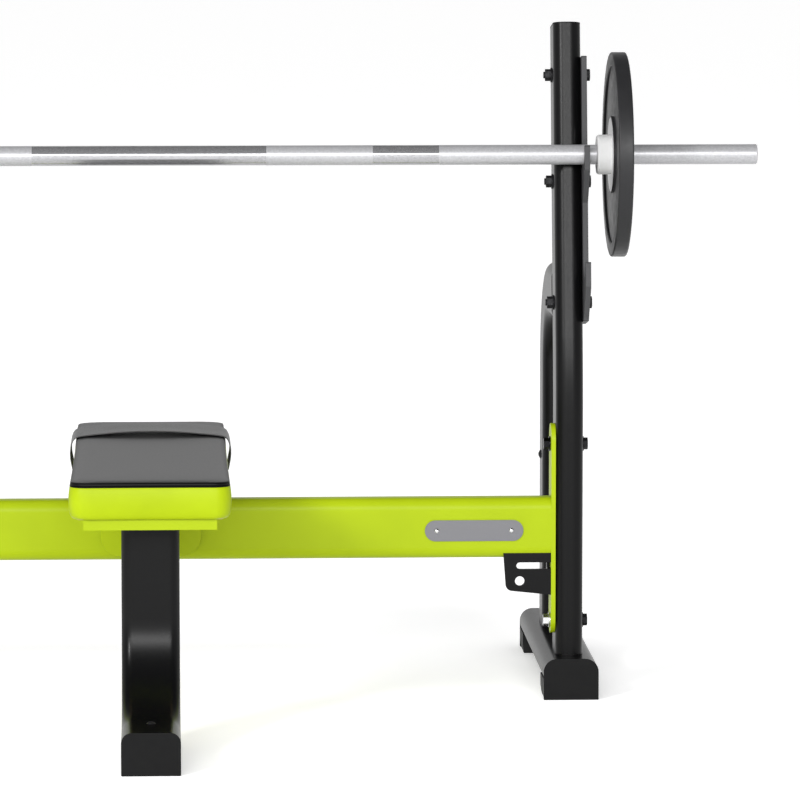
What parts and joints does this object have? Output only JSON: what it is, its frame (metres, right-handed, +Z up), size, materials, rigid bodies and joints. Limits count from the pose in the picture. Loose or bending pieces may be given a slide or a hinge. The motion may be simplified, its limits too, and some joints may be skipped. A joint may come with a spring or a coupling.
{
  "type": "olympic bench press",
  "caption": "Flat bench press: upholstered pad on a bent front leg and cross beam, leaning uprights with two-height bar catches on base tubes, and a barbell with a weight plate at each end.",
  "frame": {"origin": "on the floor under the middle of the whole object, loaded bar included", "axes": "+X along the bar to one plate, +Y from the foot end of the bench to the head end and the uprights, +Z up"},
  "size_m": [2.2, 1.376, 1.2232],
  "materials": {
    "black_paint": "satin powder coat",
    "lime_paint": "satin powder coat",
    "catch_paint": "satin powder coat",
    "black_plastic": "matte moulded",
    "boot_rubber": "matte",
    "pad_vinyl": "smooth upholstery vinyl",
    "cover_sheet": "coated fabric",
    "plywood": "sanded",
    "name_plate_metal": "satin anodised",
    "black_fastener": "black oxide",
    "zinc_fastener": "zinc plated",
    "bar_chrome": "polished hard chrome",
    "collar_white": "semi-gloss",
    "bush_bronze": "machined",
    "plate_rubber": "smooth matte rubber over an iron core",
    "hub_steel": "brushed"
  },
  "bodies": {
    "frame": {"front_leg": "black_paint", "front_foot_cap": "black_plastic", "front_foot_pad": "boot_rubber", "front_foot_screw": "black_fastener", "spine_tube": "lime_paint", "saddle_plate": "lime_paint", "pad_support_front": "lime_paint", "pad_support_rear": "lime_paint", "pad_board": "plywood", "pad_bolts": "black_fastener", "pad_cushion": "pad_vinyl", "pad_cover": "cover_sheet", "cross_beam": "lime_paint", "name_plate": "name_plate_metal", "name_plate_screws": "zinc_fastener", "beam_flange_left": "lime_paint", "beam_flange_right": "lime_paint", "beam_bracket_left": "black_paint", "beam_bracket_right": "black_paint", "flange_bolts_left": "black_fastener", "flange_bolts_right": "black_fastener", "flange_nuts_left": "zinc_fastener", "flange_nuts_right": "zinc_fastener", "base_tube_left": "black_paint", "base_tube_right": "black_paint", "base_front_cap_left": "black_plastic", "base_front_cap_right": "black_plastic", "base_rear_cap_left": "black_plastic", "base_rear_cap_right": "black_plastic", "base_boots_left": "boot_rubber", "base_boots_right": "boot_rubber", "upright_left": "black_paint", "upright_right": "black_paint", "upright_cap_left": "black_plastic", "upright_cap_right": "black_plastic", "rear_tube_left": "black_paint", "rear_tube_right": "black_paint", "rear_tube_bolts_left": "black_fastener", "rear_tube_bolts_right": "black_fastener", "bar_catch_left": "catch_paint", "bar_catch_right": "catch_paint", "catch_bolts_left": "black_fastener", "catch_bolts_right": "black_fastener", "catch_nuts_left": "black_fastener", "catch_nuts_right": "black_fastener"},
    "bar": {"bar_shaft": "bar_chrome", "snap_ring_left": "zinc_fastener", "snap_ring_right": "zinc_fastener"},
    "sleeve_left": {"sleeve_left": "bar_chrome", "sleeve_collar_left": "collar_white", "sleeve_bushes_left": "bush_bronze", "sleeve_end_cap_left": "bar_chrome"},
    "sleeve_right": {"sleeve_right": "bar_chrome", "sleeve_collar_right": "collar_white", "sleeve_bushes_right": "bush_bronze", "sleeve_end_cap_right": "bar_chrome"},
    "plate_left": {"weight_plate_left": "plate_rubber", "plate_hub_left": "hub_steel"},
    "plate_right": {"weight_plate_right": "plate_rubber", "plate_hub_right": "hub_steel"}
  },
  "joints": [
    {"name": "bar_lift", "type": "slide", "parent": "frame", "child": "bar", "axis": [0, 0, 1], "range_m": [0, 0.25]},
    {"name": "sleeve_spin_left", "type": "hinge", "parent": "bar", "child": "sleeve_left", "pos_m": [-0.809, 0.13523, 0.98526], "axis": [1, 0, 0], "continuous": true},
    {"name": "sleeve_spin_right", "type": "hinge", "parent": "bar", "child": "sleeve_right", "pos_m": [0.809, 0.13523, 0.98526], "axis": [1, 0, 0], "continuous": true},
    {"name": "plate_slide_left", "type": "slide", "parent": "sleeve_left", "child": "plate_left", "axis": [-1, 0, 0], "range_m": [0, 0.27]},
    {"name": "plate_slide_right", "type": "slide", "parent": "sleeve_right", "child": "plate_right", "axis": [1, 0, 0], "range_m": [0, 0.27]}
  ]
}
